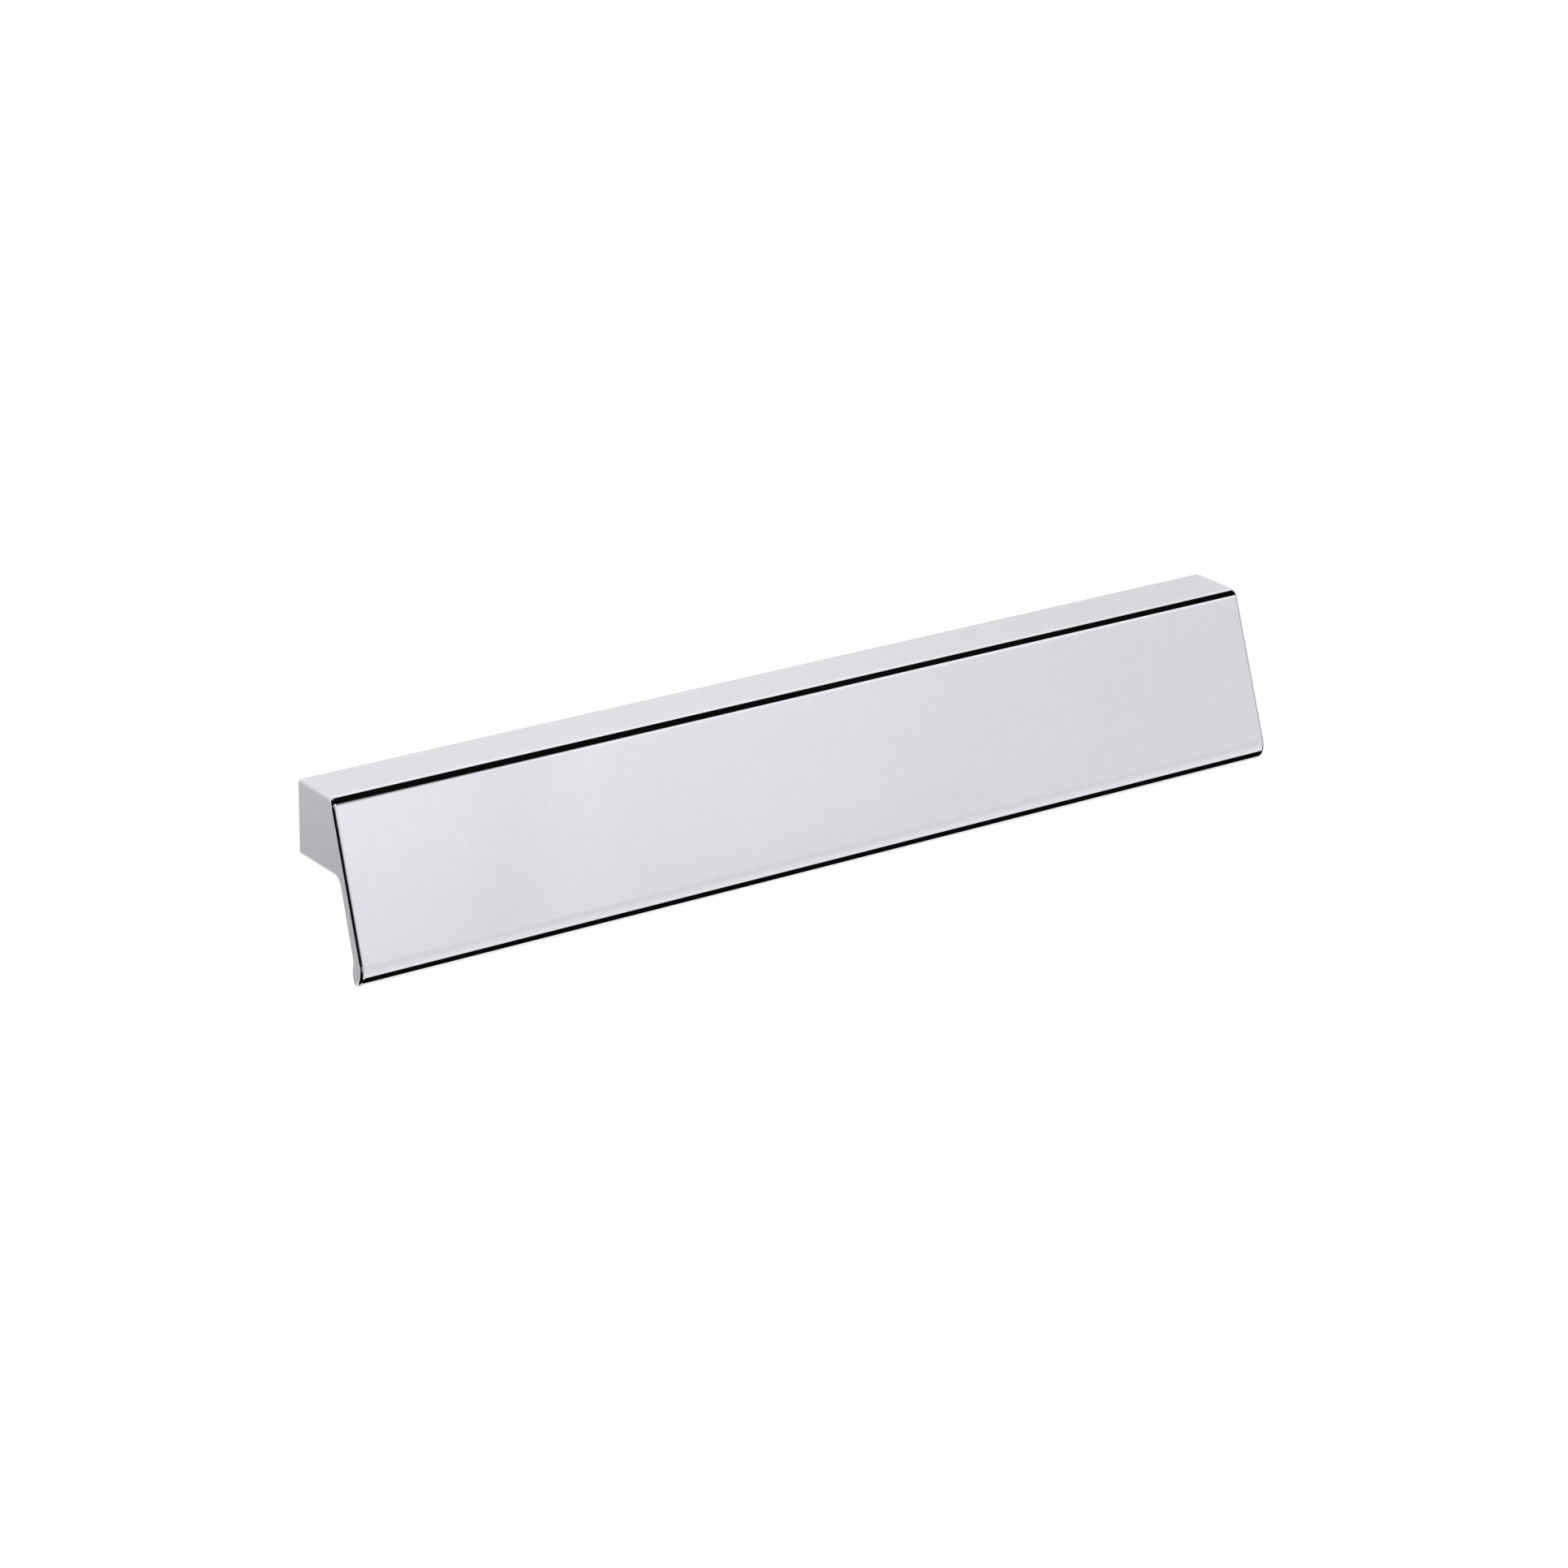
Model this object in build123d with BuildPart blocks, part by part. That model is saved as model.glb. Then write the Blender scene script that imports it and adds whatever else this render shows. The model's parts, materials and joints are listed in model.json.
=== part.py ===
from build123d import *
import os
from math import acos, cos, degrees, radians, sin, tan

# Driving sizes of the pull, in millimetres and degrees
overall_length = 200.0  # between the ends of the lip, its longest line
screw_spacing = 160.0  # centre to centre
end_draft = 0.9  # each end leans out by this towards the lip
rail_height = 14.0  # of the part that sits on the door
top_depth = 12.0  # of the flat top, from the door to its sharp front corner
screw_drop = 7.0  # of the screw centres below the top
plate_lean = 18.45  # of the front, from upright
plate_reach = 33.1  # down the front, from the top corner to the far end of the lip
plate_root = 2.47  # thickness of the plate, taken up to its top corner
plate_draft = 1.0  # its back opens from its front by this towards the lip

# Rolled lip along the bottom of the plate
roll_radius = 3.8  # where the front starts to turn back
roll_turn = 80.0
tip_radius = 0.8  # round the lowest edge
tip_turn = 88.0
heel_radius = 4.4  # up the back of the lip
neck_radius = 2.5  # hollow from the lip up into the back of the plate

# Rounding of the outer edges
brow_radius = 2.0  # long edge between the top and the front
end_radius = 0.7  # round each end
armpit_radius = 1.8  # between the underside of the rail and the back of the plate
seat_radius = 0.5  # round the face on the door

# Cored back of the rail, open to the door
wall = 2.3  # top, bottom and front
end_wall = 3.0
core_draft = 1.0
corner_radius = 0.7  # where two walls of a cell meet
floor_radius = 0.5  # where the walls of a cell meet its floor
rib_count = 3  # between the two screw bosses
rib_thickness = 1.8
rib_setback = 1.2  # behind the face on the door
boss_radius = 5.0
hole_radius = 2.0  # outer size of an M4 thread
hole_depth = 9.0
hole_mouth_radius = 2.35  # of the lead-in
hole_mouth_angle = 90.0

# Places in the section; y = 0 is the door and z = 0 is the line of the screws
top_z = screw_drop
underside_z = top_z - rail_height
rail_middle_z = (top_z + underside_z) / 2
top_corner = Vector(-top_depth, top_z)
down_plate = Vector(-sin(radians(plate_lean)), -cos(radians(plate_lean)))
into_plate = Vector(cos(radians(plate_lean)), -sin(radians(plate_lean)))

# The centres of the lip's arcs, measured down the plate and into it from the top corner
tip_down = plate_reach - tip_radius
tip_in = roll_radius - (roll_radius - tip_radius) * cos(radians(roll_turn))
roll_start = tip_down - (roll_radius - tip_radius) * sin(radians(roll_turn))
heel_down = tip_down - (heel_radius - tip_radius) * sin(radians(roll_turn + tip_turn))
heel_in = tip_in + (heel_radius - tip_radius) * cos(radians(roll_turn + tip_turn))
back_in = plate_root + heel_down * tan(radians(plate_draft))
heel_proud = (heel_in - back_in) * cos(radians(plate_draft))
neck_turn = degrees(acos((neck_radius - heel_proud) / (heel_radius + neck_radius)))
heel_turn = 180 - roll_turn - tip_turn + neck_turn + plate_draft
tip_centre = top_corner + down_plate * tip_down + into_plate * tip_in
lowest_z = tip_centre.Y - tip_radius

# Section of the casting: rail, leaning plate and rolled lip
with BuildSketch(Plane.YZ) as section:
    with BuildLine():
        top = Line((0, top_z), top_corner)
        front = Line(top_corner, top_corner + down_plate * roll_start)
        roll = JernArc(front @ 1, front % 1, roll_radius, roll_turn)
        tip = JernArc(roll @ 1, roll % 1, tip_radius, tip_turn)
        heel = JernArc(tip @ 1, tip % 1, heel_radius, heel_turn)
        neck = JernArc(heel @ 1, heel % 1, neck_radius, -neck_turn)
        underside_level = Line((0, underside_z), (-overall_length, underside_z), mode=Mode.PRIVATE)
        plate_back = IntersectingLine(neck @ 1, neck % 1, underside_level)
        underside = Line(plate_back @ 1, (0, underside_z))
        Line(underside @ 1, top @ 0)
    make_face()
    fillet(section.vertices().sort_by_distance(top @ 1)[0], brow_radius)
    fillet(section.vertices().sort_by_distance(plate_back @ 1)[0], armpit_radius)

# The ends lean out a little from the top to the lip
half_length = overall_length / 2
end_planes = [
    Plane(
        origin=(side * half_length, 0, lowest_z),
        x_dir=(0, 1, 0),
        z_dir=(side * cos(radians(end_draft)), 0, sin(radians(end_draft))),
    )
    for side in (-1, 1)
]

# The face on the door, and the plane that the pocket stops at, a wall behind the front
door_plane = Plane(origin=(0, 0, 0), x_dir=(1, 0, 0), z_dir=(0, 1, 0))
pocket_plane = Plane(origin=(0, 0, rail_middle_z), x_dir=(1, 0, 0), z_dir=(0, -1, 0))
floor_corner = top_corner + into_plate * wall
floor_plane = Plane(
    origin=(0, floor_corner.X, floor_corner.Y),
    x_dir=(1, 0, 0),
    z_dir=(0, into_plate.X, into_plate.Y),
)

# Pocket in the back of the rail
top_end = half_length - (top_z - lowest_z) * tan(radians(end_draft))
pocket_length = 2 * (top_end - end_wall)
pocket_height = rail_height - 2 * wall
with BuildPart() as pocket:
    with BuildSketch(pocket_plane):
        Rectangle(pocket_length, pocket_height)
    extrude(amount=overall_length)
    split(bisect_by=floor_plane, keep=Keep.TOP)
pocket_box = pocket.part.bounding_box()

# Ribs and screw bosses that stand in it, rooted in the walls round it
rib_pitch = screw_spacing / (rib_count + 1)
with BuildPart() as stiffeners:
    with BuildSketch(pocket_plane.offset(rib_setback)):
        with GridLocations(rib_pitch, 0, rib_count, 1):
            Rectangle(rib_thickness, pocket_height + wall)
    extrude(amount=overall_length)
    with BuildSketch(door_plane):
        with GridLocations(screw_spacing, 0, 2, 1):
            Circle(boss_radius)
    extrude(amount=-overall_length)
    split(bisect_by=floor_plane.offset(-wall / 2), keep=Keep.TOP)


def in_pocket(shape):
    """Whether a face or an edge lies in the pocket, on its walls or its floor."""
    box = shape.bounding_box()
    return (
        max(-box.min.X, box.max.X) < pocket_box.max.X + floor_radius
        and box.min.Z > pocket_box.min.Z - floor_radius
        and box.max.Z < pocket_box.max.Z + floor_radius
    )


def runs_inwards(edge):
    """Whether an edge runs from the door towards the floor of the pocket."""
    size = edge.bounding_box().size
    return size.Y > max(size.X, size.Z)


# The casting in one piece
with BuildPart() as pull_body:
    extrude(section.sketch, amount=overall_length, both=True)
    for end_plane in end_planes:
        split(bisect_by=end_plane, keep=Keep.BOTTOM)

    # Each end is rounded all the way round, but for its edge on the door
    for end_face in (pull_body.faces().sort_by(Axis.X)[0], pull_body.faces().sort_by(Axis.X)[-1]):
        fillet(end_face.edges().sort_by(Axis.Y)[:-1], end_radius)

    # Cored back, with draft on every wall, rib and boss
    add(pocket.part, mode=Mode.SUBTRACT)
    add(stiffeners.part)
    walls = pull_body.faces().filter_by(in_pocket).filter_by(lambda face: abs(face.normal_at().Y) < 0.01)
    draft(walls, door_plane, core_draft)
    hollow_edges = pull_body.edges().filter_by(in_pocket).filter_by(lambda edge: edge.is_interior)
    fillet(hollow_edges.filter_by(runs_inwards), corner_radius)
    floors = pull_body.faces().filter_by(in_pocket).filter_by(floor_plane)
    fillet(floors.edges(), floor_radius)

    # Outer edge of the face on the door
    door_face = pull_body.faces().sort_by(Axis.Y)[-1]
    fillet(door_face.outer_wire().edges(), seat_radius)

    # Threaded holes for the two screws, as plain bores
    with Locations(door_plane):
        with GridLocations(screw_spacing, 0, 2, 1):
            CounterSinkHole(hole_radius, hole_mouth_radius, hole_depth, hole_mouth_angle)

os.makedirs("parts", exist_ok=True)
pull_body.part.label = "pull_body"
export_step(pull_body.part, "parts/pull_body.step")
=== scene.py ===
import json
import logging
import math
from dataclasses import dataclass, field
from enum import Enum
from typing import Any, Sequence, Union

import bmesh
import bpy
from mathutils import Matrix, Vector


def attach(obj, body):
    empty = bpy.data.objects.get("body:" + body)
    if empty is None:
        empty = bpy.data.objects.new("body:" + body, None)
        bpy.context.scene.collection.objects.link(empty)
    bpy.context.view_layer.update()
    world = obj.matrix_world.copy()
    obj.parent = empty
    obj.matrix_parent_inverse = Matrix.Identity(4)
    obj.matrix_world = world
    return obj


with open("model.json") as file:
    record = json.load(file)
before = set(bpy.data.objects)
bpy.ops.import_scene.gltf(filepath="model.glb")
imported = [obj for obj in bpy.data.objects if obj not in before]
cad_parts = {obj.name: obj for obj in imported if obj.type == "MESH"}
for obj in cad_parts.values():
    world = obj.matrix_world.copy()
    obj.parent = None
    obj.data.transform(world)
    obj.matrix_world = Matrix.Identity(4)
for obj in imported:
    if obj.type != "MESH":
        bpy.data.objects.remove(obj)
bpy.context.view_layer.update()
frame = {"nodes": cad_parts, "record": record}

CASTING_NODE = "pull_body"
BODY = "root"
MM = 0.001

log = logging.getLogger("cabinet_pull")
Level = Union[float, bpy.types.NodeSocket]
Colour = tuple[float, float, float, float]
Direction = tuple[float, float, float]
Edge = tuple[float, float]  # where a mask starts, and where it is full
Span = tuple[Edge, Edge]
Stops = tuple[tuple[float, float], ...]


class Blend(Enum):
    """What a mix node blends, with the places of its two inputs and its output among the node's sockets."""

    LEVEL = ("FLOAT", 2, 3, 0)
    COLOUR = ("RGBA", 6, 7, 2)


class Finish(Enum):
    """Finishes of the pull, by the name of their material."""

    CHROME = "polished_chrome"
    THREAD = "cut_thread"
    FLOOR = "studio_floor"


class Graph:
    """A node tree with short calls for the nodes that the finishes and the studio use."""

    def __init__(self, tree: bpy.types.NodeTree) -> None:
        """Start from an emptied tree.

        Args:
            tree: The tree of a material, a world or a node group.
        """
        self.tree = tree
        tree.nodes.clear()

    def node(self, kind: str, **settings: Any) -> bpy.types.Node:
        """Add a node.

        Args:
            kind: Blender's type name of the node.
            settings: Attributes to set on it.

        Returns:
            The new node.
        """
        made = self.tree.nodes.new(kind)
        for name, value in settings.items():
            setattr(made, name, value)
        return made

    def feed(self, socket: bpy.types.NodeSocket, value: Any) -> None:
        """Link a socket, or set its own value.

        Args:
            socket: The input to feed.
            value: Another node's output, or a plain value.
        """
        if isinstance(value, bpy.types.NodeSocket):
            self.tree.links.new(value, socket)
        else:
            socket.default_value = value

    def math(self, operation: str, *values: Level, clamp: bool = False) -> bpy.types.NodeSocket:
        """Work out one value from up to three others.

        Args:
            operation: Blender's name of the operation.
            values: Its inputs in order.
            clamp: Whether the result is kept from 0 to 1.

        Returns:
            The result's socket.
        """
        made = self.node("ShaderNodeMath", operation=operation, use_clamp=clamp)
        for socket, value in zip(made.inputs, values):
            self.feed(socket, value)
        return made.outputs[0]

    def dot(self, vector: bpy.types.NodeSocket, towards: Sequence[float]) -> bpy.types.NodeSocket:
        """Measure a direction along a fixed one.

        Args:
            vector: The direction that varies.
            towards: The fixed direction.

        Returns:
            Their dot product.
        """
        made = self.node("ShaderNodeVectorMath", operation="DOT_PRODUCT")
        self.feed(made.inputs[0], vector)
        made.inputs[1].default_value = towards
        return made.outputs["Value"]

    def step(self, value: Level, low: float, high: float) -> bpy.types.NodeSocket:
        """Rise smoothly from 0 to 1.

        Args:
            value: What is measured.
            low: Where the rise starts.
            high: Where it ends; below low, it falls instead.

        Returns:
            The smooth step's socket.
        """
        made = self.node("ShaderNodeMapRange", interpolation_type="SMOOTHSTEP")
        rising = high > low
        first, last = (low, high) if rising else (high, low)
        ends = (0.0, 1.0) if rising else (1.0, 0.0)
        for name, number in zip(("From Min", "From Max", "To Min", "To Max"), (first, last, *ends)):
            made.inputs[name].default_value = number
        self.feed(made.inputs["Value"], value)
        return made.outputs["Result"]

    def product(self, *parts: Level) -> bpy.types.NodeSocket:
        """Multiply levels or masks.

        Args:
            parts: Two or more of them.

        Returns:
            Their product's socket; of masks, where all of them hold.
        """
        held = parts[0]
        for part in parts[1:]:
            held = self.math("MULTIPLY", held, part)
        return held

    def largest(self, *parts: Level) -> bpy.types.NodeSocket:
        """Take the largest of some levels or masks.

        Args:
            parts: Two or more of them.

        Returns:
            The largest one's socket; of masks, where any of them holds.
        """
        held = parts[0]
        for part in parts[1:]:
            held = self.math("MAXIMUM", held, part)
        return held

    def within(self, value: Level, edges: Span) -> bpy.types.NodeSocket:
        """Mark what lies between two soft edges.

        Args:
            value: What is measured.
            edges: Where the mask rises and where it falls.

        Returns:
            The mask's socket.
        """
        return self.product(*(self.step(value, *edge) for edge in edges))

    def ramp(self, value: Level, stops: Stops) -> bpy.types.NodeSocket:
        """Read a level from a few stops, held at the first and the last one beyond them.

        Args:
            value: What is measured.
            stops: Pairs of a place and its level, in rising order.

        Returns:
            The level's socket.
        """
        low, high = stops[0][0], stops[-1][0]
        spread = self.node("ShaderNodeMapRange")
        spread.inputs["From Min"].default_value = low
        spread.inputs["From Max"].default_value = high
        self.feed(spread.inputs["Value"], value)
        made = self.node("ShaderNodeValToRGB")
        elements = made.color_ramp.elements
        while len(elements) < len(stops):
            elements.new(1.0)
        for element, (place, level) in zip(elements, stops):
            element.position = (place - low) / (high - low)
            element.color = (level, level, level, 1.0)
        self.feed(made.inputs["Fac"], spread.outputs["Result"])
        return made.outputs["Color"]

    def mix(
        self, amount: Level, first: Any, second: Any, blend: Blend = Blend.LEVEL,
    ) -> bpy.types.NodeSocket:
        """Blend two levels or colours.

        Args:
            amount: How much of the second, from 0 to 1.
            first: The level or colour at 0.
            second: The level or colour at 1.
            blend: Which of the two they are.

        Returns:
            The blend's socket.
        """
        kind, first_place, second_place, result_place = blend.value
        made = self.node("ShaderNodeMix", data_type=kind)
        self.feed(made.inputs[0], amount)
        self.feed(made.inputs[first_place], first)
        self.feed(made.inputs[second_place], second)
        return made.outputs[result_place]

    def noise(
        self, place: bpy.types.NodeSocket, scale: float, detail: float,
        stretch: Direction = (1.0, 1.0, 1.0),
    ) -> bpy.types.NodeSocket:
        """Add noise over the surface.

        Args:
            place: The coordinates in metres.
            scale: Its fineness, in waves to the metre.
            detail: How many finer layers it has.
            stretch: Factors along X, Y and Z before the noise.

        Returns:
            The noise's level, round 0.5.
        """
        mapping = self.node("ShaderNodeMapping")
        mapping.inputs["Scale"].default_value = stretch
        self.feed(mapping.inputs["Vector"], place)
        made = self.node("ShaderNodeTexNoise")
        self.feed(made.inputs["Vector"], mapping.outputs[0])
        self.feed(made.inputs["Scale"], scale)
        made.inputs["Detail"].default_value = detail
        return made.outputs["Fac"]


def place_of(graph: Graph) -> bpy.types.NodeSocket:
    """Give the place on the surface in the frame's metres.

    Args:
        graph: The material's tree.

    Returns:
        The coordinates' socket.
    """
    return graph.node("ShaderNodeTexCoord").outputs["Object"]


@dataclass(frozen=True)
class PolishGrain:
    """Fine marks that buffing leaves: long hairlines, a cloudy haze and tiny pits."""

    name: str = "polish_grain"
    hairlines: float = 9000.0
    haze: float = 55.0
    pits: float = 5200.0
    lengthwise: Direction = (0.012, 1.0, 1.0)
    haze_detail: float = 4.0
    hairline_detail: float = 2.0
    pit_detail: float = 1.0
    haze_edge: Edge = (0.35, 0.75)
    hairline_edge: Edge = (0.58, 0.72)
    pit_edge: Edge = (0.72, 0.8)

    def group(self) -> bpy.types.NodeTree:
        """Build the effect once and hand it out after that.

        Returns:
            The node group, with Place, Haze and Scratch inputs and Roughness and Height outputs.
        """
        made = bpy.data.node_groups.get(self.name)
        if made:
            return made
        made = bpy.data.node_groups.new(self.name, "ShaderNodeTree")
        graph = Graph(made)
        made.interface.new_socket("Place", in_out="INPUT", socket_type="NodeSocketVector")
        for name in ("Haze", "Scratch"):
            made.interface.new_socket(name, in_out="INPUT", socket_type="NodeSocketFloat")
        for name in ("Roughness", "Height"):
            made.interface.new_socket(name, in_out="OUTPUT", socket_type="NodeSocketFloat")
        given = graph.node("NodeGroupInput").outputs
        cloud = graph.noise(given["Place"], self.haze, self.haze_detail)
        lines = graph.noise(given["Place"], self.hairlines, self.hairline_detail, self.lengthwise)
        pits = graph.noise(given["Place"], self.pits, self.pit_detail)
        cloudy = graph.product(graph.step(cloud, *self.haze_edge), given["Haze"])
        lined = graph.product(graph.step(lines, *self.hairline_edge), given["Scratch"])
        pitted = graph.product(graph.step(pits, *self.pit_edge), given["Scratch"])
        result = graph.node("NodeGroupOutput").inputs
        graph.feed(result["Roughness"], graph.math("ADD", cloudy, lined))
        graph.feed(result["Height"], graph.math("SUBTRACT", graph.product(lined, -1.0), pitted))
        return made

    def add(self, graph: Graph, place: bpy.types.NodeSocket, haze: float, scratch: float) -> Any:
        """Place the effect in a material.

        Args:
            graph: The material's tree.
            place: The coordinates in metres.
            haze: How much the cloudy haze roughens.
            scratch: How much the hairlines and pits show.

        Returns:
            The group node's outputs.
        """
        made = graph.node("ShaderNodeGroup", node_tree=self.group())
        graph.feed(made.inputs["Place"], place)
        made.inputs["Haze"].default_value = haze
        made.inputs["Scratch"].default_value = scratch
        return made.outputs


@dataclass(frozen=True)
class CoredBack:
    """Where the open back of the rail lies, in metres; its bounds run through the middle of the walls."""

    half_length: float = 97.9 * MM
    half_height: float = 5.85 * MM
    front_corner: tuple[float, float] = (-12.0 * MM, 7.0 * MM)
    lean: float = 18.45
    behind_front: float = 1.5 * MM
    seat_depth: float = 0.06 * MM
    blur: float = 0.05 * MM

    def hollow(self, graph: Graph, place: bpy.types.NodeSocket) -> bpy.types.NodeSocket:
        """Tell the hollow from the polished outside.

        Args:
            graph: The material's tree.
            place: The coordinates in metres.

        Returns:
            1 in the hollow, 0 elsewhere.
        """
        split = graph.node("ShaderNodeSeparateXYZ")
        graph.feed(split.inputs[0], place)
        along = graph.math("ABSOLUTE", split.outputs["X"])
        across = graph.math("ABSOLUTE", split.outputs["Z"])
        lean = math.radians(self.lean)
        inwards = Vector((0.0, math.cos(lean), -math.sin(lean)))
        start = inwards.dot(Vector((0.0, *self.front_corner))) + self.behind_front
        within_length = graph.step(along, self.half_length + self.blur, self.half_length)
        within_height = graph.step(across, self.half_height + self.blur, self.half_height)
        behind = graph.step(graph.dot(place, inwards), start, start + self.blur)
        return graph.product(within_length, within_height, behind)

    def seat(self, graph: Graph, place: bpy.types.NodeSocket) -> bpy.types.NodeSocket:
        """Tell the flat face on the door from all other faces.

        Args:
            graph: The material's tree.
            place: The coordinates in metres.

        Returns:
            1 on the face on the door, 0 elsewhere.
        """
        split = graph.node("ShaderNodeSeparateXYZ")
        graph.feed(split.inputs[0], place)
        return graph.step(split.outputs["Y"], -self.seat_depth, -self.seat_depth / 2)


@dataclass(frozen=True)
class Chrome:
    """Chrome plate: buffed to a mirror outside, as it came from the mould in the hollow."""

    bright: Colour = (0.80, 0.805, 0.85, 1.0)
    shaded: Colour = (0.785, 0.79, 0.835, 1.0)
    hollow: Colour = (0.50, 0.505, 0.52, 1.0)
    hollow_dark: Colour = (0.36, 0.365, 0.375, 1.0)
    roughness: float = 0.035
    seat_roughness: float = 0.14
    hollow_roughness: float = 0.32
    haze: float = 0.02
    scratch: float = 0.015
    bands: float = 45.0
    band_stretch: Direction = (1.0, 0.05, 0.05)
    band_share: float = 0.3
    mottle: float = 420.0
    tone_detail: float = 3.0
    tone_edge: Edge = (0.3, 0.7)
    cast_grain: float = 1400.0
    cast_detail: float = 5.0
    cast_edge: Edge = (0.35, 0.65)
    cast_share: float = 0.25
    cast_roughness: float = 0.15
    hairline_depth: float = 0.4e-6
    cast_depth: float = 25e-6
    grain: PolishGrain = field(default_factory=PolishGrain)
    back: CoredBack = field(default_factory=CoredBack)

    def material(self) -> bpy.types.Material:
        """Build the material.

        Returns:
            The chrome of the casting.
        """
        made = bpy.data.materials.new(Finish.CHROME.value)
        made.use_nodes = True
        graph = Graph(made.node_tree)
        place = place_of(graph)
        hollow = self.back.hollow(graph, place)
        marks = self.grain.add(graph, place, self.haze, self.scratch)
        bands = graph.noise(place, self.bands, self.tone_detail, self.band_stretch)
        mottle = graph.noise(place, self.mottle, self.tone_detail)
        tones = (graph.step(mottle, *self.tone_edge), graph.step(bands, *self.tone_edge))
        tone = graph.mix(self.band_share, *tones)
        outside = graph.mix(tone, self.bright, self.shaded, Blend.COLOUR)
        cast = graph.noise(place, self.cast_grain, self.cast_detail)
        cast_tone = graph.product(graph.step(cast, *self.cast_edge), self.cast_share)
        inside = graph.mix(cast_tone, self.hollow, self.hollow_dark, Blend.COLOUR)
        seat = graph.product(self.back.seat(graph, place), self.seat_roughness)
        rough_outside = graph.math("ADD", graph.math("ADD", marks["Roughness"], self.roughness), seat)
        rough_inside = graph.math("ADD", graph.product(cast, self.cast_roughness), self.hollow_roughness)
        fine = graph.node("ShaderNodeBump")
        fine.inputs["Distance"].default_value = 1.0
        outer_height = graph.product(marks["Height"], self.hairline_depth / self.scratch)
        inner_height = graph.product(cast, self.cast_depth)
        graph.feed(fine.inputs["Height"], graph.mix(hollow, outer_height, inner_height))
        shader = graph.node("ShaderNodeBsdfPrincipled")
        shader.inputs["Metallic"].default_value = 1.0
        graph.feed(shader.inputs["Base Color"], graph.mix(hollow, outside, inside, Blend.COLOUR))
        graph.feed(shader.inputs["Roughness"], graph.mix(hollow, rough_outside, rough_inside))
        graph.feed(shader.inputs["Normal"], fine.outputs[0])
        end = graph.node("ShaderNodeOutputMaterial")
        graph.feed(end.inputs["Surface"], shader.outputs[0])
        return made


@dataclass(frozen=True)
class CutThread:
    """The screw thread: bare zinc as the tap leaves it, with a trace of plating on its crests."""

    flank: Colour = (0.40, 0.41, 0.42, 1.0)
    crest: Colour = (0.62, 0.63, 0.65, 1.0)
    roughness: float = 0.28
    haze: float = 0.1
    scratch: float = 0.2
    patches: float = 900.0
    patch_detail: float = 3.0
    patch_edge: Edge = (0.4, 0.65)
    grain: PolishGrain = field(default_factory=PolishGrain)

    def material(self) -> bpy.types.Material:
        """Build the material.

        Returns:
            The finish of the thread.
        """
        made = bpy.data.materials.new(Finish.THREAD.value)
        made.use_nodes = True
        graph = Graph(made.node_tree)
        place = place_of(graph)
        marks = self.grain.add(graph, place, self.haze, self.scratch)
        patches = graph.step(graph.noise(place, self.patches, self.patch_detail), *self.patch_edge)
        shader = graph.node("ShaderNodeBsdfPrincipled")
        shader.inputs["Metallic"].default_value = 1.0
        graph.feed(shader.inputs["Base Color"], graph.mix(patches, self.flank, self.crest, Blend.COLOUR))
        graph.feed(shader.inputs["Roughness"], graph.math("ADD", marks["Roughness"], self.roughness))
        end = graph.node("ShaderNodeOutputMaterial")
        graph.feed(end.inputs["Surface"], shader.outputs[0])
        return made


@dataclass
class Casting:
    """The pull itself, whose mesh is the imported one."""

    finish: Chrome = field(default_factory=Chrome)

    def dress(self) -> bpy.types.Object:
        """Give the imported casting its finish.

        Returns:
            The casting's object.
        """
        body = frame["nodes"][CASTING_NODE]
        made = self.finish.material()
        for slot in body.material_slots:
            slot.material = made
        return body


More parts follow.
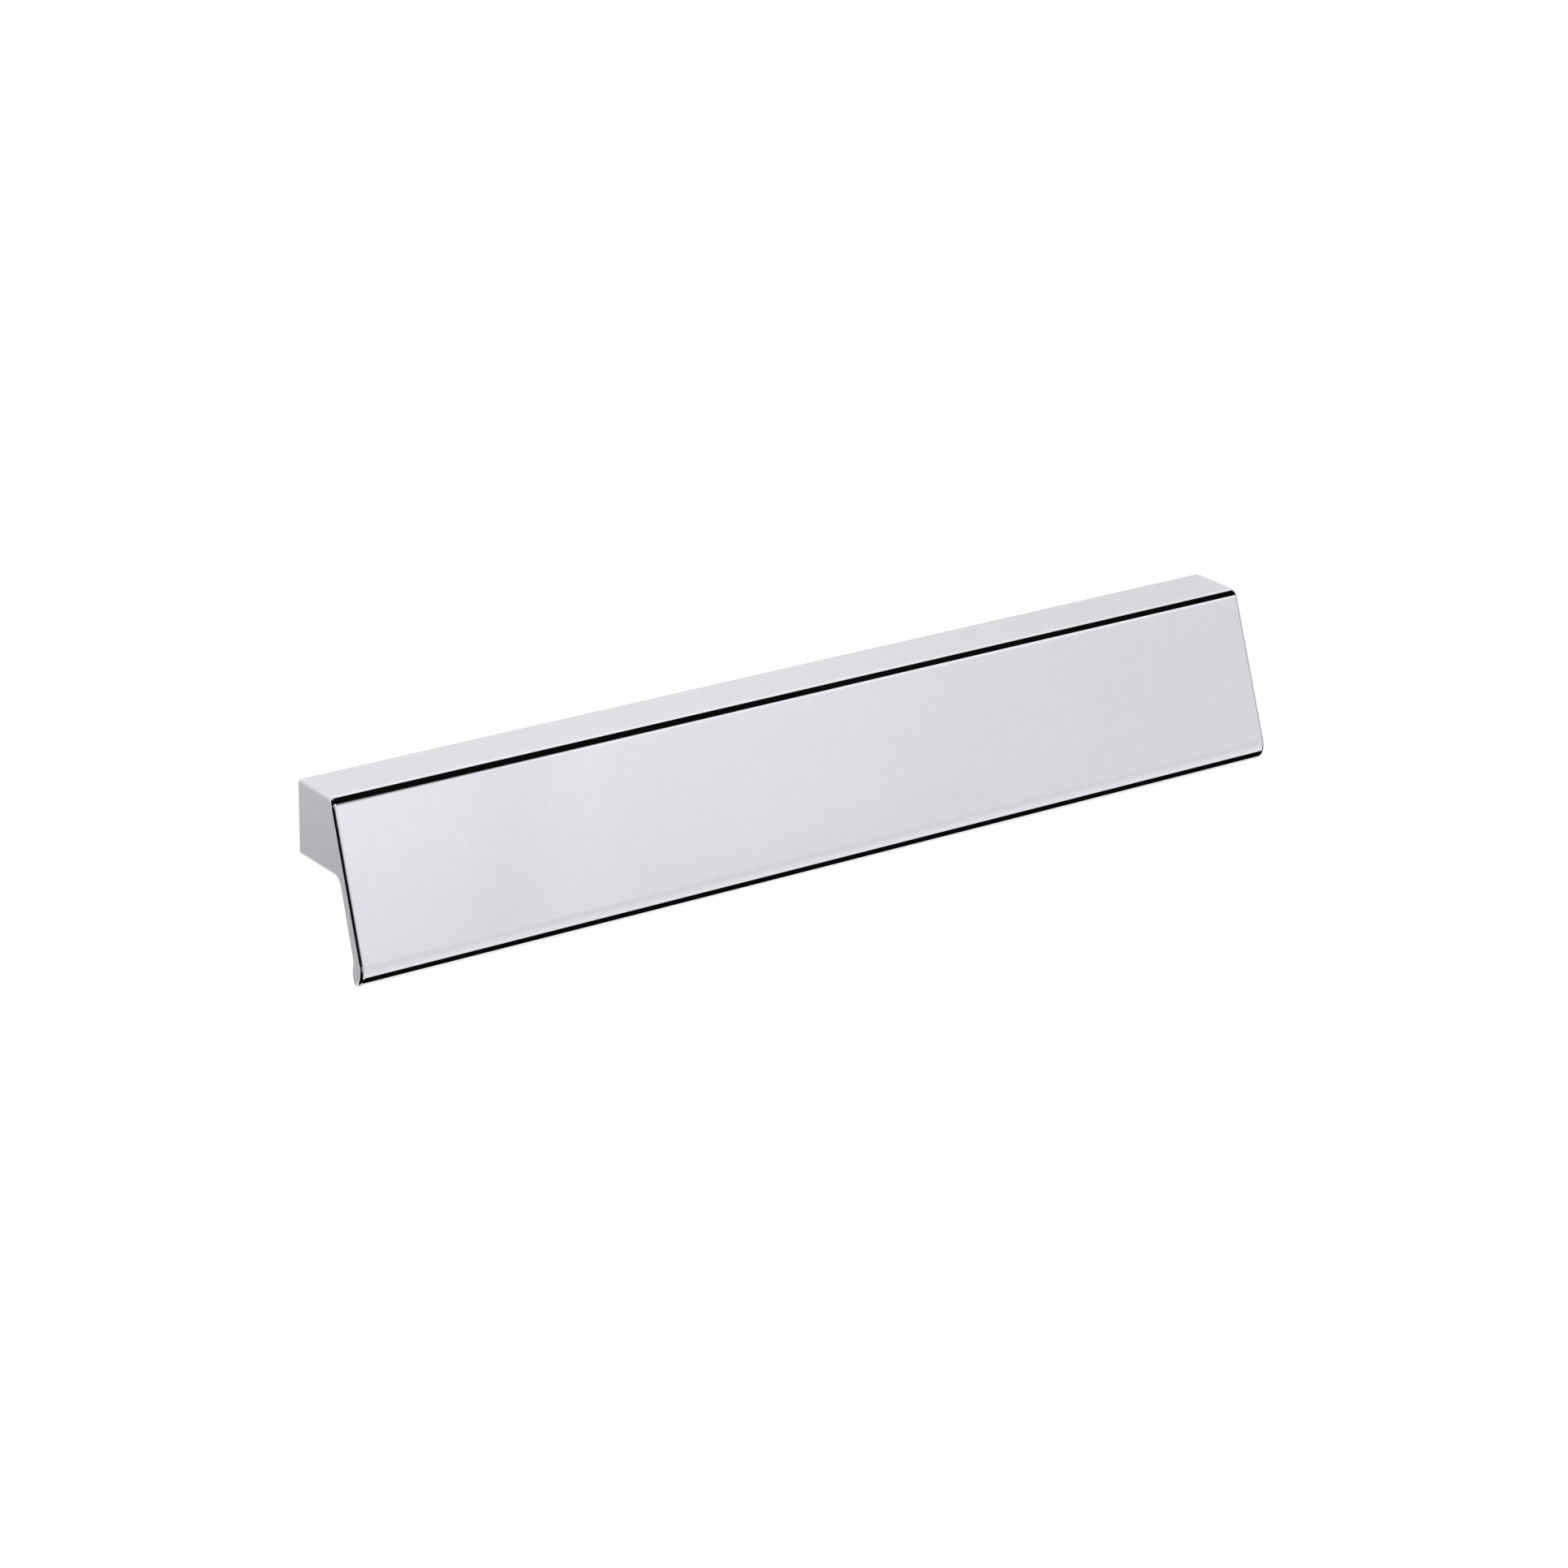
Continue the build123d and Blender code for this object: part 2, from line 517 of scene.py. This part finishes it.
@dataclass
class ScrewThread:
    """Threads in the two screw holes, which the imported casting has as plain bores."""

    pitch: float = 0.7 * MM
    crest_radius: float = 1.65 * MM
    sunk: float = 0.03 * MM
    start: float = 0.75 * MM
    length: float = 7.2 * MM
    steps: int = 40
    root_width: float = 0.92
    crest_width: float = 0.125
    run_in: float = 0.5
    finish: CutThread = field(default_factory=CutThread)

    def holes(self) -> tuple[list[Vector], float]:
        """Read the holes from the record's row of screws.

        Returns:
            The centres of their mouths, and their radius in metres.
        """
        row = next(m for m in frame["record"]["mounts"] if m["kind"] == "bolt_pattern")
        half = row["dims"]["spacing_x_mm"] * MM / 2
        centre = Vector(row["pos_m"])
        return [centre - Vector((half, 0, 0)), centre + Vector((half, 0, 0))], row["dims"]["hole_r_mm"] * MM

    def mesh(self, mouth: Vector, radius: float) -> bpy.types.Mesh:
        """Wind a V-shaped ridge down one bore.

        Args:
            mouth: The middle of the hole's mouth.
            radius: The bore's radius.

        Returns:
            The ridge's closed mesh.
        """
        root = radius + self.sunk
        half_root, half_crest = self.pitch * self.root_width / 2, self.pitch * self.crest_width / 2
        profile = ((root, -half_root), (self.crest_radius, -half_crest), (self.crest_radius, half_crest),
                   (root, half_root))
        turns = self.length / self.pitch
        count = int(turns * self.steps)
        work = bmesh.new()
        rings = []
        for number in range(count + 1):
            angle = 2 * math.pi * number / self.steps
            run = min(number, count - number) / self.steps
            grown = min(1.0, run / self.run_in)
            depth = self.start + self.length * number / count
            ring = []
            for reach, offset in profile:
                distance = root + (reach - root) * grown
                place = Vector((distance * math.cos(angle), -depth - offset, distance * math.sin(angle)))
                ring.append(work.verts.new(mouth + place))
            rings.append(ring)
        for first, second in zip(rings, rings[1:]):
            for corner in range(len(profile)):
                after = (corner + 1) % len(profile)
                work.faces.new((first[corner], first[after], second[after], second[corner]))
        work.faces.new(rings[0][::-1])
        work.faces.new(rings[-1])
        bmesh.ops.recalc_face_normals(work, faces=work.faces)
        made = bpy.data.meshes.new("screw_thread")
        work.to_mesh(made)
        work.free()
        return made

    def build(self) -> list[bpy.types.Object]:
        """Make both threads.

        Returns:
            Their objects, left and right.
        """
        mouths, radius = self.holes()
        dressed = self.finish.material()
        made = []
        for side, mouth in zip(("left", "right"), mouths):
            piece = bpy.data.objects.new(f"screw_thread_{side}", self.mesh(mouth, radius))
            piece.data.materials.append(dressed)
            bpy.context.collection.objects.link(piece)
            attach(piece, BODY)
            made.append(piece)
        return made


@dataclass
class Studio:
    """A white tent with black cards that draw the dark lines in the chrome.

    Directions are unit vectors from the pull: x to its right, y into the door, z up. A turn is the angle
    round the pull's long axis, in degrees: 0 straight in front, 90 overhead, 180 at the back.
    """

    by_turn: Stops = (
        (-180.0, 0.8), (-168.0, 0.74), (-156.0, 0.71), (-145.0, 0.86), (-130.0, 1.05), (-62.0, 1.06),
        (-44.0, 1.0), (-36.0, 0.96), (-23.0, 0.905), (-13.0, 0.865), (-5.0, 0.85), (2.0, 0.865),
        (11.0, 0.885), (14.0, 0.9), (18.0, 0.98), (30.0, 1.08), (60.0, 1.1), (128.0, 1.1), (143.0, 1.04),
        (152.0, 0.95), (158.0, 0.925), (180.0, 0.8),
    )
    front_by_x: Stops = (
        (-1.0, 0.45), (-0.36, 0.45), (-0.16, 0.9), (0.3, 0.92), (0.42, 0.97), (0.45, 1.0), (0.61, 1.0),
        (0.68, 0.55), (0.9, 0.55), (0.97, 0.95), (1.0, 0.95),
    )
    upper_by_x: Stops = (
        (-1.0, 0.0), (0.3, 0.0), (0.44, 0.122), (0.46, 0.12), (0.51, 0.075), (0.55, 0.015), (0.59, -0.035),
        (1.0, -0.04),
    )
    back_by_x: Stops = (
        (-1.0, 0.84), (-0.46, 0.82), (0.0, 0.91), (0.3, 0.97), (0.47, 0.972), (0.51, 0.985), (0.55, 0.94),
        (0.59, 0.89), (0.7, 0.89), (1.0, 0.93),
    )
    folds: Stops = (
        (0.40, 1.01), (0.426, 0.995), (0.437, 0.94), (0.449, 1.015), (0.463, 0.978), (0.48, 1.0),
        (0.506, 0.99), (0.53, 0.962), (0.555, 0.942), (0.58, 0.95),
    )
    fold_lean: Direction = (1.0, 0.0, -0.217)
    end_by_turn: Stops = (
        (-160.0, 1.02), (-157.6, 1.06), (-156.8, 0.965), (-156.2, 0.925), (-154.5, 0.9), (-150.0, 1.0),
    )
    streak: Stops = (
        (0.44, 0.0), (0.47, 0.025), (0.50, 0.04), (0.515, 0.03), (0.53, 0.0),
    )
    streak_slope: float = 10.7
    streak_turns: Edge = (6.14, 5.94)
    cloud_scale: float = 70.0
    cloud_detail: float = 3.0
    cloud_share: float = 0.05
    upper_turns: Edge = (10.6, 13.4)
    front_to_back: Edge = (-0.3, 0.3)
    dark: float = 0.003

    # Where the cards end towards the door, at the back and low down
    belt_back: Direction = (0.16, 1.0, -0.04)
    belt_low: Direction = (-0.2, 1.0, -1.0)
    belt_ends: tuple[float, float] = (0.33, 0.95)
    belt_edge: Edge = (0.03, -0.03)

    # Strip in front on the right, and the opening in it that the front face mirrors
    strip_sides: Span = ((0.40, 0.43), (0.68, 0.65))
    opening_rise: float = 0.24
    opening_top: float = 0.30
    opening_right: Direction = (1.139, 0.133, 0.0)
    opening_foot: Direction = (0.0, -0.883, 0.469)
    opening_foot_edge: Edge = (-0.03, 0.03)
    soft_by_x: Stops = ((0.44, 0.22), (0.46, 0.15), (0.5, 0.07), (0.54, 0.04))

    # Cards overhead and below, with gaps round the long axis and straight up and down
    overhead_turns: Span = ((39.5, 42.5), (102.0, 98.0))
    below_turns: Span = ((-56.0, -60.0), (-100.0, -96.0))
    axis_gap: Edge = (0.9970, 0.9955)
    pole_length: Edge = (0.22, 0.18)
    pole_width: Edge = (0.10, 0.06)

    # Card to the left, which draws the line down the left end
    plate_up: Direction = (0.015, 0.316, 0.949)
    band_heights: Span = ((-0.135, -0.12), (-0.054, -0.066))
    band_side: Edge = (-18.0, -46.0)
    wing_side: Edge = (-54.0, -64.0)
    wing_back: Edge = (0.26, 0.16)
    foot_height: Edge = (-0.26, -0.36)
    foot_side: Edge = (-18.0, -40.0)
    left_only: Edge = (-0.1, -0.2)

    # Small card low on the right, for the end of the lower line
    corner_sides: Span = ((0.61, 0.65), (0.86, 0.81))
    corner_height: Edge = (-0.28, -0.34)
    corner_back: Edge = (0.66, 0.60)
    lip_up: Direction = (0.0, -0.5736, 0.8192)
    corner_lip: Edge = (-0.71, -0.67)

    # Floor
    floor_half: float = 4.0
    floor_drop: float = 0.32
    floor_colour: Colour = (0.9, 0.9, 0.9, 1.0)
    floor_glow: float = 0.15
    white: Colour = (1.0, 1.0, 1.0, 1.0)

    def level(
        self, graph: Graph, towards: bpy.types.NodeSocket, turn: Level, x: Level, y: Level,
    ) -> bpy.types.NodeSocket:
        """Give the tent's white, which is not quite even and hangs in soft folds.

        Args:
            graph: The world's tree.
            towards: The direction looked in.
            turn: Its angle round the pull's long axis.
            x: Its part to the right.
            y: Its part into the door.

        Returns:
            The level's socket.
        """
        even = graph.ramp(turn, self.by_turn)
        upper = graph.product(graph.step(turn, *self.upper_turns), graph.ramp(x, self.upper_by_x))
        across = graph.dot(towards, self.fold_lean)
        slope = graph.math("SUBTRACT", turn, graph.product(across, self.streak_slope))
        streak = graph.product(graph.step(slope, *self.streak_turns), graph.ramp(across, self.streak))
        front = graph.product(
            graph.ramp(x, self.front_by_x), graph.math("ADD", upper, 1.0),
            graph.ramp(across, self.folds), graph.math("SUBTRACT", 1.0, streak),
        )
        back = graph.product(graph.ramp(x, self.back_by_x), graph.ramp(turn, self.end_by_turn))
        by_x = graph.mix(graph.step(y, *self.front_to_back), front, back)
        cloud = graph.math("SUBTRACT", graph.noise(towards, self.cloud_scale, self.cloud_detail), 0.5)
        cloud = graph.math("ADD", graph.product(cloud, self.cloud_share), 1.0)
        return graph.product(even, by_x, cloud)

    def behind_belt(self, graph: Graph, towards: bpy.types.NodeSocket) -> tuple[Level, Level]:
        """Measure how far a direction lies behind the cards, which stand in front of the door.

        Args:
            graph: The world's tree.
            towards: The direction looked in.

        Returns:
            The distances past the cards' back end and past their low end, less than 0 in front of them.
        """
        back_end, low_end = self.belt_ends
        back = graph.math("SUBTRACT", graph.dot(towards, self.belt_back), back_end)
        return back, graph.math("SUBTRACT", graph.dot(towards, self.belt_low), low_end)

    def strip(
        self, graph: Graph, towards: bpy.types.NodeSocket, x: Level, z: Level, past: Level,
    ) -> bpy.types.NodeSocket:
        """Mark the upright strip in front on the right, with the opening that the front face shows.

        Args:
            graph: The world's tree.
            towards: The direction looked in.
            x: Its part to the right.
            z: Its part upwards.
            past: How far it lies past the ends of the cards.

        Returns:
            1 on the strip, 0 elsewhere.
        """
        rise = graph.math("ADD", graph.product(x, self.opening_rise), self.opening_top)
        top = graph.largest(rise, graph.dot(towards, self.opening_right))
        above = graph.math("DIVIDE", graph.math("SUBTRACT", z, top), graph.ramp(x, self.soft_by_x))
        over_foot = graph.step(graph.dot(towards, self.opening_foot), *self.opening_foot_edge)
        opening = graph.product(graph.step(above, 1.0, -1.0), over_foot)
        shut = graph.math("SUBTRACT", 1.0, opening)
        return graph.product(graph.step(past, *self.belt_edge), shut, graph.within(x, self.strip_sides))

    def left_card(
        self, graph: Graph, towards: bpy.types.NodeSocket, x: Level, y: Level, z: Level, axis: Level,
    ) -> bpy.types.NodeSocket:
        """Mark the card to the left: a band level with the plate, a wing beside it and a foot under it.

        Args:
            graph: The world's tree.
            towards: The direction looked in.
            x: Its part to the right.
            y: Its part into the door.
            z: Its part upwards.
            axis: 0 round the pull's long axis, 1 elsewhere.

        Returns:
            1 on the card, 0 elsewhere.
        """
        side = graph.math("DEGREES", graph.math("ARCTAN2", x, graph.product(y, -1.0)))
        height = graph.within(graph.dot(towards, self.plate_up), self.band_heights)
        band = graph.product(height, graph.step(side, *self.band_side))
        wing = graph.product(graph.step(side, *self.wing_side), graph.step(y, *self.wing_back), axis)
        foot = graph.product(graph.step(z, *self.foot_height), graph.step(side, *self.foot_side))
        return graph.product(graph.largest(band, wing, foot), graph.step(x, *self.left_only))

    def corner_card(
        self, graph: Graph, towards: bpy.types.NodeSocket, x: Level, y: Level, z: Level,
    ) -> bpy.types.NodeSocket:
        """Mark the small card low on the right.

        Args:
            graph: The world's tree.
            towards: The direction looked in.
            x: Its part to the right.
            y: Its part into the door.
            z: Its part upwards.

        Returns:
            1 on the card, 0 elsewhere.
        """
        return graph.product(
            graph.within(x, self.corner_sides), graph.step(z, *self.corner_height),
            graph.step(y, *self.corner_back), graph.step(graph.dot(towards, self.lip_up), *self.corner_lip),
        )

    def cards(
        self, graph: Graph, towards: bpy.types.NodeSocket, turn: Level, x: Level, y: Level, z: Level,
    ) -> bpy.types.NodeSocket:
        """Mark the black cards: overhead, below, to the left, in front on the right and low on the right.

        Args:
            graph: The world's tree.
            towards: The direction looked in.
            turn: Its angle round the pull's long axis.
            x: Its part to the right.
            y: Its part into the door.
            z: Its part upwards.

        Returns:
            1 on a black card, 0 on the tent.
        """
        past_back, past_low = self.behind_belt(graph, towards)
        off_axis = graph.math("ABSOLUTE", x)
        axis = graph.step(off_axis, *self.axis_gap)
        ring = graph.largest(graph.within(turn, self.overhead_turns), graph.within(turn, self.below_turns))
        left = self.left_card(graph, towards, x, y, z, axis)
        left = graph.product(left, graph.step(past_back, *self.belt_edge))
        off_door = graph.math("ABSOLUTE", y)
        poles = graph.product(graph.step(off_axis, *self.pole_length), graph.step(off_door, *self.pole_width))
        wide = graph.largest(graph.product(ring, axis), left)
        wide = graph.product(wide, graph.math("SUBTRACT", 1.0, poles))
        strip = self.strip(graph, towards, x, z, graph.largest(past_back, past_low))
        corner = self.corner_card(graph, towards, x, y, z)
        return graph.math("MAXIMUM", graph.largest(wide, strip), corner, clamp=True)

    def world(self) -> None:
        """Build the light: plain white, and for mirror rays the tent's uneven white with its black cards."""
        made = bpy.data.worlds.new("white_tent")
        made.use_nodes = True
        graph = Graph(made.node_tree)
        towards = graph.node("ShaderNodeTexCoord").outputs["Generated"]
        split = graph.node("ShaderNodeSeparateXYZ")
        graph.feed(split.inputs[0], towards)
        x, y, z = split.outputs
        turn = graph.math("DEGREES", graph.math("ARCTAN2", z, graph.product(y, -1.0)))
        tent = self.level(graph, towards, turn, x, y)
        seen = graph.mix(self.cards(graph, towards, turn, x, y, z), tent, self.dark)
        path = graph.node("ShaderNodeLightPath").outputs
        mirrored = graph.largest(path["Is Glossy Ray"], path["Is Transmission Ray"])
        shell = graph.node("ShaderNodeBackground")
        graph.feed(shell.inputs["Strength"], graph.mix(mirrored, 1.0, seen))
        shell.inputs["Color"].default_value = self.white
        end = graph.node("ShaderNodeOutputWorld")
        graph.feed(end.inputs["Surface"], shell.outputs[0])
        bpy.context.scene.world = made

    def floor(self) -> bpy.types.Object:
        """Lay a plain pale floor well below the pull, clear when seen from below.

        Returns:
            The floor's object.
        """
        half, drop = self.floor_half, self.floor_drop
        mesh = bpy.data.meshes.new("studio_floor")
        corners = [(-half, -half, -drop), (half, -half, -drop), (half, half, -drop), (-half, half, -drop)]
        mesh.from_pydata(corners, [], [(0, 1, 2, 3)])
        made = bpy.data.objects.new("studio_floor", mesh)
        bpy.context.collection.objects.link(made)
        paint = bpy.data.materials.new(Finish.FLOOR.value)
        paint.use_nodes = True
        graph = Graph(paint.node_tree)
        path = graph.node("ShaderNodeLightPath").outputs
        shown = graph.largest(path["Is Camera Ray"], path["Is Glossy Ray"], path["Is Transmission Ray"])
        shader = graph.node("ShaderNodeBsdfPrincipled")
        shader.inputs["Base Color"].default_value = self.floor_colour
        shader.inputs["Roughness"].default_value = 1.0
        shader.inputs["Specular IOR Level"].default_value = 0.0
        shader.inputs["Emission Color"].default_value = self.white
        graph.feed(shader.inputs["Emission Strength"], graph.product(shown, self.floor_glow))
        clear = graph.node("ShaderNodeBsdfTransparent")
        sides = graph.node("ShaderNodeMixShader")
        graph.feed(sides.inputs[0], graph.node("ShaderNodeNewGeometry").outputs["Backfacing"])
        graph.feed(sides.inputs[1], shader.outputs[0])
        graph.feed(sides.inputs[2], clear.outputs[0])
        end = graph.node("ShaderNodeOutputMaterial")
        graph.feed(end.inputs["Surface"], sides.outputs[0])
        mesh.materials.append(paint)
        made.visible_glossy = False
        return made

    def build(self) -> None:
        """Set up the light and the floor."""
        self.world()
        self.floor()
        bpy.context.scene.view_settings.view_transform = "Standard"


@dataclass
class PhotoCamera:
    """The photograph's viewpoint, fitted to the edges of the pull in it."""

    azimuth: float = -34.186
    elevation: float = 20.967
    distance: float = 923.86 * MM
    aim: tuple[float, float, float] = (-4.348 * MM, -10.0 * MM, -11.289 * MM)
    sensor: float = 36.0
    lens: float = 115.99
    clip_start: float = 10 * MM

    def build(self) -> bpy.types.Object:
        """Make the camera and set it as the scene's.

        Returns:
            The camera's object.
        """
        turn, rise = math.radians(self.azimuth), math.radians(self.elevation)
        back = Vector((math.sin(turn) * math.cos(rise), -math.cos(turn) * math.cos(rise), math.sin(rise)))
        right = Vector((math.cos(turn), math.sin(turn), 0.0))
        up = back.cross(right)
        data = bpy.data.cameras.new("photo_camera")
        data.sensor_width = self.sensor
        data.lens = self.lens
        data.clip_start = self.clip_start
        made = bpy.data.objects.new("photo_camera", data)
        place = Matrix((right, up, back)).transposed().to_4x4()
        place.translation = Vector(self.aim) + back * self.distance
        made.matrix_world = place
        bpy.context.collection.objects.link(made)
        bpy.context.scene.camera = made
        return made


def main() -> None:
    """Dress the pull, then set up its studio and camera."""
    logging.basicConfig(level=logging.INFO, format="%(name)s: %(message)s")
    body = Casting().dress()
    log.info("%s: %d faces", body.name, len(body.data.polygons))
    for thread in ScrewThread().build():
        log.info("%s: %d faces", thread.name, len(thread.data.polygons))
    Studio().build()
    log.info("studio: floor and tent")
    camera = PhotoCamera().build()
    log.info("%s: lens %.1f mm", camera.name, camera.data.lens)


if __name__ == "__main__":
    main()
